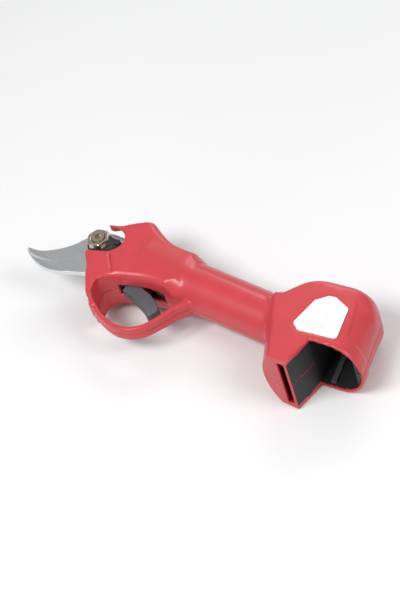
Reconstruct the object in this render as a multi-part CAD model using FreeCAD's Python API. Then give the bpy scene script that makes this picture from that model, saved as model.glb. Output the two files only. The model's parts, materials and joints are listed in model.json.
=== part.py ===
"""Battery electric pruner, 25 mm cutting class, battery pack removed.

Modelling axes: the pivot axis is Z and passes through X = Y = 0, the housing halves part
at Z = 0, -X runs to the blade tip, +X to the battery housing, -Y is the trigger side.
The finished solids are moved so that the origin is the bottom centre of the whole tool.
"""
import FreeCAD, Part
import math
import os

from FreeCAD import Vector

os.makedirs("parts", exist_ok=True)

# ---------------------------------------------------------------- driving sizes (mm)
WALL = 2.2                 # moulded housing wall
CLEAR = 0.3                # general gap between pieces that do not fit each other
RUN_FIT = 0.04             # radial clearance of a running fit

HANDLE_R = 17.5            # handle tube, outer radius
HANDLE_Y = 4.7             # handle axis above the pivot
HANDLE_X0 = 40.0           # handle tube starts inside the head
HANDLE_X1 = 172.0          # and ends inside the battery housing
HEAD_HALF = 17.0           # half thickness of the head
HEAD_EDGE_R = 4.0          # rounding of the head's outer edges
NOSE_SHARP_BELOW = -26.0   # the nose below this height keeps its sharp edges

TAIL_HALF = 24.0           # half thickness of the battery housing
TAIL_REAR_TILT = 17.0      # slope of its rear wall, degrees from Y
TAIL_FRONT_TILT = 32.0     # slope of its front wall
TAIL_NOSE = 10.0           # how far the front wall bulges
TAIL_REAR_X = 233.5        # rear wall where it crosses Y = 0
TAIL_FRONT_X = 162.0       # edge of the flat side where it crosses Y = 0
BAY_TOP_Y = 20.0           # ceiling of the battery bay
RIB_T = 2.0                # rib between the latch slot and the bay
LATCH_GAP = 5.5            # latch slot in front of that rib
LATCH_HALF_W = 20.0

GUARD_HALF_W = 5.5         # finger guard ribbon, half width
GUARD_T = 3.6              # ribbon thickness

BLADE_T = 4.0              # both blades
MOVING_Z = 2.9             # underside of the moving blade
BLADE_GAP = 0.1            # running gap between the blades
BOLT_R = 5.0               # pivot bolt shank
BUSH_T = 1.5               # pivot bush wall
HUB_R = 12.8               # round root of the moving blade
WASHER_T = 1.2             # thrust washer
NUT_AF = 15.0              # pivot nut across flats
NUT_H = 6.0
BOLT_HEAD_R = 9.0
BOLT_HEAD_H = 5.2
LOCK_PLATE_T = 1.6
LOCK_PLATE_R = 9.6

PINION_TEETH = 10
SECTOR_TEETH = 50          # teeth of the full circle that the sector is part of
PINION_R = 4.5             # pitch radius
PINION_W = 4.6             # face width
SECTOR_FROM = -8.0         # first and last tooth, degrees from +X at rest
SECTOR_TO = 56.0
DRIVE_Z = MOVING_Z - 1.0 - PINION_R
DRIVE_TILT = 3.2           # the drive line leaves the pivot towards the handle axis

GEAR_MODULE = 0.5
SUN_TEETH = 12
PLANET_TEETH = 15
RING_TEETH = SUN_TEETH + 2 * PLANET_TEETH
PLANETS = 3
SHAFT_R = 2.5              # gearbox output shaft
GEARBOX_R = 11.7
GEARBOX_X0 = 34.2
GEARBOX_L = 19.0
MOTOR_R = 11.8
MOTOR_L = 50.0
MOTOR_WALL = 1.2
MOTOR_SHAFT_R = 1.5

TRIGGER_PIN = (41.0, -13.4)
TRIGGER_PIN_R = 1.5
TRIGGER_HALF_W = 4.6
SPRING_WIRE_R = 0.4
SPRING_TURNS = 3.5

SCREW_R = 1.4              # housing screws
SCREW_HEAD_R = 2.7
BOSS_R = 3.1
BOSSES = [(20.8, -33.5), (26.0, 25.5), (48.0, 18.6), (112.0, -7.5), (152.0, -7.5),
          (173.0, 13.0), (213.0, 33.0)]

BOARD_X0 = 117.0           # control board
BOARD_L = 30.0
BOARD_T = 1.6
ROCKER_AT = (194.0, 29.5)  # centre of the power switch on the far side
ROCKER_TILT = 8.0
TRUNNION_R = 0.7           # pivot pins of the power switch
ROCKER_RIM_T = 0.8         # rim of the switch frame, let into the side wall

nodes = {}


# ---------------------------------------------------------------- helpers
def cyl(r, z0, z1, x=0.0, y=0.0):
    """Cylinder along Z."""
    return Part.makeCylinder(r, z1 - z0, Vector(x, y, z0))


def cyl_x(r, x0, x1, y=0.0, z=0.0):
    """Cylinder along X."""
    return Part.makeCylinder(r, x1 - x0, Vector(x0, y, z), Vector(1, 0, 0))


def box(x0, x1, y0, y1, z0, z1):
    return Part.makeBox(x1 - x0, y1 - y0, z1 - z0, Vector(x0, y0, z0))


def face_of(points):
    """Planar face at Z = 0 from straight corners."""
    corners = [Vector(x, y, 0) for x, y in points]
    return Part.Face(Part.makePolygon(corners + corners[:1]))


def prism(points, z0, z1):
    face = face_of(points)
    face.translate(Vector(0, 0, z0))
    return face.extrude(Vector(0, 0, z1 - z0))


def inset_face(face, inset):
    return face if inset == 0 else face.makeOffset2D(-inset)


def ring_x(r_out, r_in, x0, x1):
    return cyl_x(r_out, x0, x1).cut(cyl_x(r_in, x0 - 1, x1 + 1))


def fuse(shapes):
    return shapes[0].multiFuse(shapes[1:]).removeSplitter()


def group(shapes):
    return Part.makeCompound(shapes)


def polar(radius, degrees):
    angle = math.radians(degrees)
    return radius * math.cos(angle), radius * math.sin(angle)


def gear_points(teeth, module, internal=False):
    """Outline of a gear with short trapezoid teeth and backlash; a tooth lies at angle 0."""
    pitch = teeth * module / 2
    sign = -1 if internal else 1
    tip = pitch + sign * 0.45 * module
    root = pitch - sign * 1.0 * module
    slim = 0.85 if internal else 1.0
    step = 360.0 / teeth
    points = []
    for tooth in range(teeth):
        middle = tooth * step
        for radius, offset in ((root, -0.24), (tip, -0.1), (tip, 0.1), (root, 0.24)):
            points.append(polar(radius, middle + offset * slim * step))
    return points


def gear_x(teeth, module, x0, x1, phase=0.0, internal=False):
    """Gear along X; a tooth points to +Y at phase 0."""
    solid = prism(gear_points(teeth, module, internal), 0, x1 - x0)
    solid.rotate(Vector(), Vector(0, 0, 1), phase)
    # local (x, y, z) -> (y, z, x): the gear's own first axis becomes +Y
    solid.transformShape(FreeCAD.Matrix(0, 0, 1, x0, 1, 0, 0, 0, 0, 1, 0, 0, 0, 0, 0, 1))
    return solid


def on_drive_line(shape):
    """Move a shape built along the X axis onto the tilted drive line."""
    moved = shape.copy()
    moved.translate(Vector(0, 0, DRIVE_Z))
    moved.rotate(Vector(), Vector(0, 0, 1), DRIVE_TILT)
    return moved


# ---------------------------------------------------------------- housing
HEAD_OUTLINE = [(-1.6, -13.8), (26.5, -45.3), (29.5, -43.5), (26.0, -36.0), (24.5, -29.0),
                (31.0, -23.0), (42.0, -18.9), (58.0, -14.2), (80.0, -12.8),
                (80.0, 22.2), (62.0, 21.6), (50.0, 22.8), (38.0, 27.0), (29.0, 31.5),
                (21.0, 31.5), (13.0, 26.0), (5.0, 19.0), (-2.0, 14.5)]
TAIL_TOP = [(160.0, 14.0), (166.0, 24.0), (171.0, 32.0), (179.0, 37.5), (192.0, 40.2),
            (206.0, 42.3), (214.0, 42.0), (220.0, 38.0)]
TAB_LOW_Y = -36.5
RIM_LEFT = (200.2, -12.2)
RIM_RIGHT_Y = -8.0
GUARD_OUTER = [(26.5, -45.3), (37.5, -50.4), (47.5, -53.4), (57.0, -54.4), (65.0, -52.8),
               (71.0, -49.8), (76.5, -44.5), (80.3, -37.5), (83.2, -29.5), (86.2, -20.5),
               (92.0, -12.0)]


def tail_rear_x(y):
    return TAIL_REAR_X - y * math.tan(math.radians(TAIL_REAR_TILT))


def tail_front_x(y):
    return TAIL_FRONT_X - y * math.tan(math.radians(TAIL_FRONT_TILT))


def head(inset):
    face = inset_face(face_of(HEAD_OUTLINE), inset)
    half = HEAD_HALF - inset
    face.translate(Vector(0, 0, -half))
    solid = face.extrude(Vector(0, 0, 2 * half))
    cone = Part.makeCone(HANDLE_R - inset, HANDLE_R - inset + 0.62 * 140, 140,
                         Vector(80, HANDLE_Y, 0), Vector(-1, 0, 0))
    if inset:
        return solid.common(cone)
    rim = [e for e in solid.Edges if abs(abs(e.CenterOfMass.z) - half) < 0.01
           and e.CenterOfMass.x < 79 and e.CenterOfMass.y > NOSE_SHARP_BELOW]
    return solid.makeFillet(HEAD_EDGE_R, rim).common(cone)


def tail_section(front, inset):
    """Long prism that rounds the battery housing's rear wall, or its front wall."""
    half = TAIL_HALF - inset
    reach = 140.0
    if front:
        edge = inset
        arc = Part.Arc(Vector(edge, 0, half), Vector(edge - TAIL_NOSE, 0, 0), Vector(edge, 0, -half))
        far, tilt, at = reach, TAIL_FRONT_TILT, TAIL_FRONT_X
    else:
        edge = -half - inset
        arc = Part.Arc(Vector(edge, 0, half), Vector(edge + half, 0, 0), Vector(edge, 0, -half))
        far, tilt, at = -reach, TAIL_REAR_TILT, TAIL_REAR_X
    line = Part.makePolygon([Vector(edge, 0, half), Vector(far, 0, half), Vector(far, 0, -half),
                             Vector(edge, 0, -half)])
    solid = Part.Face(Part.Wire([arc.toShape()] + line.Edges)).extrude(Vector(0, -200, 0))
    solid.translate(Vector(0, 100, 0))
    solid.rotate(Vector(), Vector(0, 0, 1), tilt)
    solid.translate(Vector(at, 0, 0))
    return solid


def tail(inset):
    tab_back = RIM_LEFT[0] - 2.0
    outline = ([(tail_front_x(8.0) - TAIL_NOSE, 8.0)] + TAIL_TOP
               + [(tail_rear_x(33.0), 33.0), (tail_rear_x(RIM_RIGHT_Y), RIM_RIGHT_Y),
                  RIM_LEFT, (tab_back, TAB_LOW_Y),
                  (tail_front_x(TAB_LOW_Y) - TAIL_NOSE, TAB_LOW_Y)])
    face = inset_face(face_of(outline), inset)
    half = TAIL_HALF - inset
    face.translate(Vector(0, 0, -half))
    solid = face.extrude(Vector(0, 0, 2 * half))
    return solid.common(tail_section(True, inset)).common(tail_section(False, inset))


def guard():
    outer = face_of(GUARD_OUTER + [(92.0, 0.0), (26.5, 0.0)])
    inner = outer.makeOffset2D(-GUARD_T)
    ribbon = outer.cut(inner).common(face_of([(20, -60), (100, -60), (100, -9), (80, -13.5),
                                              (60, -30), (33, -38), (24, -38)]))
    ribbon.translate(Vector(0, 0, -GUARD_HALF_W))
    return ribbon.extrude(Vector(0, 0, 2 * GUARD_HALF_W))


def body(inset):
    handle = cyl_x(HANDLE_R - inset, HANDLE_X0, HANDLE_X1, HANDLE_Y)
    return fuse([handle, head(inset), tail(inset)])


def pivot_window():
    """Round-ended opening around the pivot, right through both sides."""
    rear = cyl(11.5, -30, 30, 7.6, 3.2)
    corner = [(-20, -12.2), (-1.0, -12.2), (12.0, -7.4), (12.0, 13.6), (0.5, 14.2), (-20, 14.2)]
    return rear.fuse(prism(corner, -30, 30))


def blade_slot():
    """Space in which the blades and the sector gear swing, open to the front."""
    top = MOVING_Z + 2 * BLADE_T + BLADE_GAP + CLEAR
    return prism([(-20, -50), (2.5, -32.0), (12.5, -24.6), (14.0, 12.0), (6.0, 24.0), (-20, 30)],
                 MOVING_Z - 4.0, top)


BAY_FRONT = [(RIM_LEFT[0] - 10.0, BAY_TOP_Y), (RIM_LEFT[0] - 0.6, RIM_LEFT[1]),
             (RIM_LEFT[0] - 2.2, TAB_LOW_Y - 30.0)]


def behind(line, shift, low=-80.0):
    """Outline of everything to the rear of the bay's front wall, moved forward by shift."""
    moved = [(x - shift, y) for x, y in line]
    return moved + [(280.0, low), (280.0, line[0][1])]


def tail_inside(inset):
    return tail_section(True, inset).common(tail_section(False, inset))


def bay():
    """Battery bay, open below the rim."""
    return tail_inside(WALL).common(prism(behind(BAY_FRONT, 0), -40, 40))


def bay_wall():
    """Front wall and ceiling of the bay, part of both halves."""
    line = list(BAY_FRONT)
    line[0] = (line[0][0] - 0.6, BAY_TOP_Y + WALL)
    outer = prism(behind(line, RIB_T), -40, 40)
    return tail(WALL / 2).common(outer).cut(bay())


def latch_slot():
    """Slot for the pack's latch, open at the tab's lower end."""
    rear = RIM_LEFT[0] - 2.0 - RIB_T
    return prism([(rear, TAB_LOW_Y - 5), (rear - LATCH_GAP, TAB_LOW_Y - 5),
                  (rear - LATCH_GAP - 1.0, TAB_LOW_Y + 18.0), (rear - 1.0, TAB_LOW_Y + 18.0)],
                 -LATCH_HALF_W, LATCH_HALF_W)


# ---------------------------------------------------------------- stack heights on the pivot
FIXED_Z = MOVING_Z + BLADE_T + BLADE_GAP
FIXED_TOP = FIXED_Z + BLADE_T
NUT_Z = FIXED_TOP + LOCK_PLATE_T
FRAME_TOP = MOVING_Z - BLADE_GAP - WASHER_T
FRAME_Z = -12.0
FRAME_T = 3.8
BOLT_Z = FRAME_Z - BOLT_HEAD_H
NUT_CORNER_R = NUT_AF / 2 / math.cos(math.pi / 6)
FRAME_BOSS_R = 11.5
POST_R = 2.9
POSTS = [(29.8, -10.8), (29.2, 13.0)]
BLADE_SCREW_R = 1.8
LOCK_SCREW_AT = (12.4, 5.6)
SECTOR_PITCH_R = PINION_R * SECTOR_TEETH / PINION_TEETH
SECTOR_IN_R = HUB_R + 0.2
SECTOR_OUT_R = SECTOR_PITCH_R + 3.0
SECTOR_T = 2.0
RIVET_R = 1.2
RIVETS = [polar(17.5, angle) for angle in (6.0, 26.0, 46.0)]


def hexagon(radius, z0, z1, turn=0.0):
    return prism([polar(radius, turn + 60 * corner) for corner in range(6)], z0, z1)


def sector_ring(r_in, r_out, z0, z1):
    """Ring segment over the sector's angle, with half a tooth more at each end."""
    half_tooth = 180.0 / SECTOR_TEETH
    ring = Part.makeCylinder(r_out, z1 - z0, Vector(0, 0, z0), Vector(0, 0, 1),
                             SECTOR_TO - SECTOR_FROM + 2 * half_tooth)
    ring.rotate(Vector(), Vector(0, 0, 1), SECTOR_FROM - half_tooth)
    return ring.cut(cyl(r_in, z0 - 1, z1 + 1))


# ---------------------------------------------------------------- blades and pivot
HOOK_LOWER = [(-52.5, -24.3), (-49.5, -28.0), (-42.5, -31.8), (-31.5, -35.3), (-22.0, -36.2),
              (-12.4, -34.6), (-3.1, -30.6), (6.0, -27.4)]
HOOK_INNER = [(-52.5, -24.3), (-46.5, -27.6), (-40.2, -28.3), (-30.2, -27.2), (-21.7, -24.3),
              (-15.0, -19.8), (-10.8, -13.0), (-9.8, -7.0)]
HOOK_ROOT = [(6.0, -27.4), (12.0, -25.0), (22.0, -17.0), (33.0, -14.2), (33.0, 16.2), (25.0, 16.2),
             (15.0, 12.5), (4.0, 12.5), (-4.0, 11.2), (-9.5, 7.0), (-11.5, 1.0), (-9.8, -7.0)]
MOVING_SPINE = [(-53.2, -23.4), (-46.0, -23.0), (-39.4, -20.8), (-32.7, -16.4), (-26.7, -11.0),
                (-21.7, -4.6), (-18.9, 1.0), (-15.0, 6.5), (-8.0, 10.0)]
MOVING_EDGE = [(-53.2, -23.4), (-50.0, -27.6), (-40.8, -31.0), (-30.8, -30.0), (-21.6, -27.0),
               (-14.6, -22.0), (-10.0, -15.0), (-7.5, -9.5)]


def fixed_blade_face():
    lower = Part.BSplineCurve()
    lower.interpolate([Vector(x, y, FIXED_Z) for x, y in HOOK_LOWER])
    inner = Part.BSplineCurve()
    inner.interpolate([Vector(x, y, FIXED_Z) for x, y in HOOK_INNER])
    root = Part.makePolygon([Vector(x, y, FIXED_Z) for x, y in HOOK_ROOT])
    wire = Part.Wire([lower.toShape()] + root.Edges + [inner.toShape()])
    return Part.Face(wire)


def fixed_blade():
    """Hook blade: the crescent and the root plate that is screwed to the frame."""
    blade = fixed_blade_face().extrude(Vector(0, 0, BLADE_T))
    holes = [cyl(BOLT_R + RUN_FIT, 0, 30), cyl(1.3, 0, 30, *LOCK_SCREW_AT)]
    holes += [cyl(BLADE_SCREW_R + 0.2, 0, 30, x, y) for x, y in POSTS]
    return blade.cut(fuse(holes))


def moving_blade():
    blade = crescent()
    hub = cyl(HUB_R, MOVING_Z, MOVING_Z + BLADE_T)
    flange = sector_ring(0.0, SECTOR_OUT_R - 1.0, MOVING_Z + SECTOR_T, MOVING_Z + BLADE_T)
    solid = fuse([blade, hub, flange]).cut(cyl(BOLT_R + RUN_FIT + BUSH_T, 0, 30))
    return solid.cut(group([cyl(RIVET_R, 0, 30, x, y) for x, y in RIVETS]))


def crescent():
    """Cutting part of the moving blade, closed across its root."""
    spine = Part.BSplineCurve()
    spine.interpolate([Vector(x, y, MOVING_Z) for x, y in MOVING_SPINE])
    edge = Part.BSplineCurve()
    edge.interpolate([Vector(x, y, MOVING_Z) for x, y in MOVING_EDGE])
    root = Part.makePolygon([Vector(*MOVING_SPINE[-1], MOVING_Z), Vector(*MOVING_EDGE[-1], MOVING_Z)])
    wire = Part.Wire([spine.toShape(), root.Edges[0], edge.toShape()])
    return Part.Face(wire).extrude(Vector(0, 0, BLADE_T))


def sector_gear():
    """Face-gear sector: teeth point down to the pinion."""
    plate = sector_ring(SECTOR_IN_R, SECTOR_OUT_R, MOVING_Z, MOVING_Z + SECTOR_T - 0.02)
    teeth = []
    step = 360.0 / SECTOR_TEETH
    # a sector tooth stands half a pitch off the line where a pinion tooth stands upright
    angle = DRIVE_TILT + step / 2 + step * math.ceil((SECTOR_FROM - DRIVE_TILT) / step - 0.5)
    r_in, r_out = SECTOR_PITCH_R - PINION_W / 2, SECTOR_PITCH_R + PINION_W / 2
    tip_z, root_z = DRIVE_Z + PINION_R - 0.5, MOVING_Z
    while angle <= SECTOR_TO:
        tooth = Part.makeLoft([tooth_outline(r_in, tip_z, root_z), tooth_outline(r_out, tip_z, root_z)],
                              True)
        tooth.rotate(Vector(), Vector(0, 0, 1), angle)
        teeth.append(tooth)
        angle += step
    solid = plate.multiFuse(teeth)
    return solid.cut(group([cyl(RIVET_R, 0, 30, x, y) for x, y in RIVETS]))


def tooth_outline(radius, tip_z, root_z):
    """Cross section of a sector tooth at a radius, narrow at its tip."""
    tip, root = 0.36, 0.78
    corners = [(-root, root_z), (-tip, tip_z), (tip, tip_z), (root, root_z)]
    points = [Vector(radius, y, z) for y, z in corners]
    return Part.makePolygon(points + points[:1])


def lock_plate():
    disc = cyl(LOCK_PLATE_R, FIXED_TOP, NUT_Z)
    tongue = prism([(6, -6.5), (LOCK_SCREW_AT[0] + 2.2, 3.0), (LOCK_SCREW_AT[0] + 1.8, 7.6),
                    (LOCK_SCREW_AT[0] - 2.6, 8.2), (0, 8.6)], FIXED_TOP, NUT_Z)
    holes = cyl(BOLT_R + RUN_FIT, 0, 30).fuse(cyl(1.5, 0, 30, *LOCK_SCREW_AT))
    return disc.fuse(tongue).removeSplitter().cut(holes)


def pivot_bolt():
    shank = cyl(BOLT_R, FRAME_Z, NUT_Z + NUT_H + 0.6)
    bolt = shank.fuse(hexagon(BOLT_HEAD_R, BOLT_Z, FRAME_Z)).removeSplitter()
    return bolt.cut(hexagon(2.6, NUT_Z + NUT_H - 1.9, NUT_Z + NUT_H + 1))


def pivot_nut():
    hexa = hexagon(NUT_CORNER_R, NUT_Z, NUT_Z + NUT_H, 12)
    cone = Part.makeCone(NUT_CORNER_R + 3.4, NUT_CORNER_R - 0.9, NUT_H, Vector(0, 0, NUT_Z))
    return hexa.common(cone).cut(cyl(BOLT_R + 0.02, 0, 30))


def head_frame():
    """Metal frame under the blades: base plate, pivot boss, blade posts, gearbox wall."""
    plate = prism([(-8, -8.5), (3, -12.5), (14, -17), (28, -16), (32.5, -13.5), (32.5, 16),
                   (20, 16), (6, 13), (-8, 8.5)], FRAME_Z, FRAME_Z + FRAME_T)
    boss = cyl(FRAME_BOSS_R, FRAME_Z, FRAME_TOP)
    posts = [cyl(POST_R, FRAME_Z, FIXED_Z, x, y) for x, y in POSTS]
    wall = box(28.0, 32.8, -9.5, 9.5, FRAME_Z, 0.5)
    wall.rotate(Vector(), Vector(0, 0, 1), DRIVE_TILT)
    frame = fuse([plate, boss, wall] + posts)
    holes = [cyl(BOLT_R + RUN_FIT, -30, 30)]
    holes += [cyl(BLADE_SCREW_R, -2.0, 30, x, y) for x, y in POSTS]
    bearing_seat = on_drive_line(cyl_x(6.5, 25, 40))
    return frame.cut(fuse(holes + [bearing_seat]))


def blade_screws():
    return group([cyl(BLADE_SCREW_R - 0.02, 0.0, FIXED_TOP, x, y)
                  .fuse(cyl(3.0, FIXED_TOP, FIXED_TOP + 1.8, x, y)).removeSplitter()
                  .cut(hexagon_hole(x, y)) for x, y in POSTS])


def hexagon_hole(x, y):
    hole = hexagon(1.4, FIXED_TOP + 0.6, FIXED_TOP + 3)
    hole.translate(Vector(x, y, 0))
    return hole


# ---------------------------------------------------------------- drive train, built along X
BEARING_X0 = 28.0
BEARING_W = 4.0
BEARING_R = 6.5
CARRIER_X0 = GEARBOX_X0 + 1.6
CARRIER_T = 2.4
GEARS_X0 = CARRIER_X0 + CARRIER_T + 0.4
GEARS_X1 = GEARS_X0 + 8.0
GEARBOX_X1 = GEARBOX_X0 + GEARBOX_L
MOTOR_X0 = GEARBOX_X1 + 0.2
MOTOR_X1 = MOTOR_X0 + MOTOR_L
CAP_T = 3.0
PLANET_ORBIT = GEAR_MODULE * (SUN_TEETH + PLANET_TEETH) / 2
PLANET_PIN_R = 1.0
PLANET_GAP = 0.2           # between a planet's faces and the case
PINION_PHASE = 90.0        # a pinion tooth points up into the sector at rest


def planet_seats():
    """Angle of each planet about the drive line, counted from +Y."""
    return [seat * 360.0 / PLANETS for seat in range(PLANETS)]


def at_seat(shape, angle):
    """Move a shape from the drive line out to a planet's seat."""
    moved = shape.copy()
    moved.translate(Vector(0, PLANET_ORBIT, 0))
    moved.rotate(Vector(), Vector(1, 0, 0), angle)
    return moved


def drive_pinion():
    x0 = SECTOR_PITCH_R - PINION_W / 2
    gear = gear_x(PINION_TEETH, 2 * PINION_R / PINION_TEETH, x0, x0 + PINION_W, PINION_PHASE)
    return on_drive_line(gear.cut(cyl_x(SHAFT_R, 0, 50)))


def planet_carrier():
    disc = cyl_x(9.2, CARRIER_X0, CARRIER_X0 + CARRIER_T)
    shaft = cyl_x(SHAFT_R, SECTOR_PITCH_R - PINION_W / 2, CARRIER_X0)
    holes = [at_seat(cyl_x(PLANET_PIN_R, 0, 60), angle) for angle in planet_seats()]
    return on_drive_line(disc.fuse(shaft).removeSplitter().cut(fuse(holes)))


def planet_pins():
    pin = cyl_x(PLANET_PIN_R, CARRIER_X0, GEARS_X1 + 0.6)
    return group([on_drive_line(at_seat(pin, angle)) for angle in planet_seats()])


def planet_phase(angle):
    """Turn of a planet that puts it in mesh with the fixed ring, which has a gap at +Y."""
    return -angle * RING_TEETH / PLANET_TEETH


def planet_gear(angle):
    gear = gear_x(PLANET_TEETH, GEAR_MODULE, GEARS_X0 + PLANET_GAP, GEARS_X1 - PLANET_GAP,
                  planet_phase(angle))
    gear = gear.cut(cyl_x(PLANET_PIN_R + RUN_FIT, 0, 60))
    return on_drive_line(at_seat(gear, angle))


def sun_gear():
    """Sun gear, with a gap where the +Y planet shows it a tooth."""
    tooth_turn = 180.0 / SUN_TEETH if PLANET_TEETH % 2 == 0 else 0.0
    gear = gear_x(SUN_TEETH, GEAR_MODULE, GEARS_X0, GEARS_X1, tooth_turn)
    return on_drive_line(gear.cut(cyl_x(MOTOR_SHAFT_R, 0, 60)))


def gearbox_housing():
    """Gear case with its ring gear cut in the bore and a nose that carries the bearing."""
    case = cyl_x(GEARBOX_R, GEARBOX_X0, GEARBOX_X1)
    front = cyl_x(SHAFT_R + 0.4, 0, GEARBOX_X0 + 2)
    room = cyl_x(9.6, GEARBOX_X0 + 1.2, GEARS_X0)
    ring = gear_x(RING_TEETH, GEAR_MODULE, GEARS_X0, GEARS_X1, 180.0 / RING_TEETH, internal=True)
    rear = cyl_x(8.6, GEARS_X1, GEARBOX_X1 + 1)
    return on_drive_line(case.cut(fuse([front, room, ring, rear])))


def output_bearing():
    """Ball bearing of the output shaft: outer ring in the frame, shaft in its bore."""
    return on_drive_line(ring_x(BEARING_R - 0.02, SHAFT_R + RUN_FIT, BEARING_X0, BEARING_X0 + BEARING_W))


def motor_can():
    can = ring_x(MOTOR_R, MOTOR_R - MOTOR_WALL, MOTOR_X0, MOTOR_X1)
    front = ring_x(MOTOR_R, 4.0, MOTOR_X0, MOTOR_X0 + 1.6)
    return on_drive_line(can.fuse(front).removeSplitter())


def motor_bearings():
    front = ring_x(3.98, MOTOR_SHAFT_R + RUN_FIT, MOTOR_X0, MOTOR_X0 + 2.5)
    rear = ring_x(3.98, MOTOR_SHAFT_R + RUN_FIT, MOTOR_X1, MOTOR_X1 + 2.5)
    return group([on_drive_line(front), on_drive_line(rear)])


def motor_end_cap():
    return on_drive_line(ring_x(MOTOR_R, 4.0, MOTOR_X1, MOTOR_X1 + CAP_T))


def motor_stator():
    """Stator with six slots around the rotor."""
    core = ring_x(MOTOR_R - MOTOR_WALL, 6.4, MOTOR_X0 + 8, MOTOR_X1 - 7)
    slots = []
    for slot in range(6):
        cut = box(0, 200, -0.9, 0.9, 6.0, 9.3)
        cut.rotate(Vector(), Vector(1, 0, 0), 60.0 * slot)
        slots.append(cut)
    return on_drive_line(core.cut(fuse(slots)))


def motor_rotor():
    return on_drive_line(ring_x(6.0, MOTOR_SHAFT_R, MOTOR_X0 + 8, MOTOR_X1 - 7))


def motor_shaft():
    return on_drive_line(cyl_x(MOTOR_SHAFT_R, GEARS_X0, MOTOR_X1 + 2.4))


# ---------------------------------------------------------------- trigger
TRIGGER_FRONT = [(38.6, -23.6), (48.0, -25.1), (56.0, -27.4), (64.0, -30.6), (70.6, -34.6)]
TRIGGER_BACK = [(72.8, -33.0), (74.2, -26.0), (68.0, -21.0), (60.5, -17.6), (52.5, -15.6)]


def trigger():
    """Curved finger lever with its pin boss and a pocket for the spring."""
    lever = prism([(37.6, -15.0)] + TRIGGER_FRONT + TRIGGER_BACK + [(47.0, -13.4), (42.0, -11.4)],
                  -TRIGGER_HALF_W, TRIGGER_HALF_W)
    boss = cyl(3.4, -TRIGGER_HALF_W, TRIGGER_HALF_W, *TRIGGER_PIN)
    solid = fuse([lever, boss]).cut(cyl(TRIGGER_PIN_R + RUN_FIT, -20, 20, *TRIGGER_PIN))
    return solid


def trigger_magnet():
    x, y = TRIGGER_BACK[-1]
    return box(x + 1.0, x + 4.0, y + 0.2, y + 1.6, -1.5, 1.5)


# ---------------------------------------------------------------- electronics
def control_board():
    y = HANDLE_Y - 3.0
    return box(BOARD_X0, BOARD_X0 + BOARD_L, y, y + BOARD_T, -13.0, 13.0)


def power_transistors():
    y = HANDLE_Y - 3.0 + BOARD_T
    return group([box(BOARD_X0 + 2 + 8.5 * column, BOARD_X0 + 8 + 8.5 * column, y, y + 1.2, z, z + 6)
                  for column in range(3) for z in (-9.5, 3.5)])


def board_heatsink():
    y = HANDLE_Y - 3.0 + BOARD_T + 1.2
    base = box(BOARD_X0 + 1, BOARD_X0 + 27, y, y + 2.0, -10.0, 10.0)
    fins = [box(BOARD_X0 + 1, BOARD_X0 + 27, y + 2.0, y + 6.0, z, z + 1.4)
            for z in (-10.0, -6.0, -2.0, 2.0, 6.0)]
    return fuse([base] + fins)


def capacitors():
    y = HANDLE_Y - 3.0
    return group([Part.makeCylinder(3.2, 9.0, Vector(x, y, z), Vector(0, -1, 0))
                  for x, z in ((BOARD_X0 + 6, -6.0), (BOARD_X0 + 6, 4.0), (BOARD_X0 + 22, 3.0))])


def tube(points, radius):
    """Lead of round section: straight runs joined by arcs as large as the runs allow."""
    route = [Vector(*point) for point in points]
    edges = []
    start = route[0]
    for before, corner, after in zip(route, route[1:], route[2:]):
        run_in, run_out = corner - before, after - corner
        reach = 0.45 * min(run_in.Length, run_out.Length)
        first = corner - run_in.normalize() * reach
        last = corner + run_out.normalize() * reach
        half_turn = run_in.getAngle(run_out) / 2
        bisector = (first + last) * 0.5 - corner
        radius_of_arc = reach / math.tan(half_turn)
        centre = corner + bisector.normalize() * (radius_of_arc / math.cos(half_turn))
        middle = centre + (corner - centre).normalize() * radius_of_arc
        edges += [Part.LineSegment(start, first).toShape(), Part.Arc(first, middle, last).toShape()]
        start = last
    edges.append(Part.LineSegment(start, route[-1]).toShape())
    section = Part.Wire(Part.Circle(route[0], route[1] - route[0], radius).toShape())
    return Part.Wire(edges).makePipeShell([section], True, False)


MOTOR_LEAD_R = 0.8
BATTERY_LEAD_R = 1.1


def motor_leads():
    """Three phase leads from the end cap to the pads of the control board."""
    start = MOTOR_X1 + CAP_T + 0.6
    return group([tube([(start, HANDLE_Y + 5.6, z), (start + 3.0, HANDLE_Y + 5.0, z),
                        (BOARD_X0 - 2.0, HANDLE_Y + 2.0, z * 1.3), (BOARD_X0 - 0.6, HANDLE_Y + 1.0, z * 1.5)],
                       MOTOR_LEAD_R) for z in (-3.2, 0.0, 3.2)])


def battery_leads():
    """Two supply leads from the board, over the bay's ceiling, to the contact tails."""
    top = BAY_TOP_Y + WALL + 2.5
    return group([tube([(BOARD_X0 + BOARD_L + 1.5, HANDLE_Y, z), (BOARD_X0 + BOARD_L + 9, HANDLE_Y + 1, z),
                        (BOARD_X0 + BOARD_L + 21, HANDLE_Y + 12, z),
                        (BOARD_X0 + BOARD_L + 31, top + 2.5, z), (TERMINAL_X - 14, top + 5.0, z),
                        (TERMINAL_X - 8, top + 2.2, z)], BATTERY_LEAD_R) for z in (-6.6, 6.6)])


def torsion_spring():
    """Return spring wound round the trigger pin beside the lever's boss."""
    x, y = TRIGGER_PIN
    z0 = TRIGGER_HALF_W + 0.9
    pitch = SPRING_WIRE_R * 2.4
    radius = TRIGGER_PIN_R + 0.85
    coil = Part.makeHelix(pitch, pitch * SPRING_TURNS, radius)
    section = Part.Wire(Part.Circle(Vector(radius, 0, 0), Vector(0, 1, 0.1), SPRING_WIRE_R).toShape())
    spring = coil.makePipeShell([section], True, True)
    spring.translate(Vector(x, y, z0))
    return spring


def buzzer():
    y = HANDLE_Y - 3.0
    return Part.makeCylinder(4.2, 5.0, Vector(BOARD_X0 + 15, y, -4.0), Vector(0, -1, 0))


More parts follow.
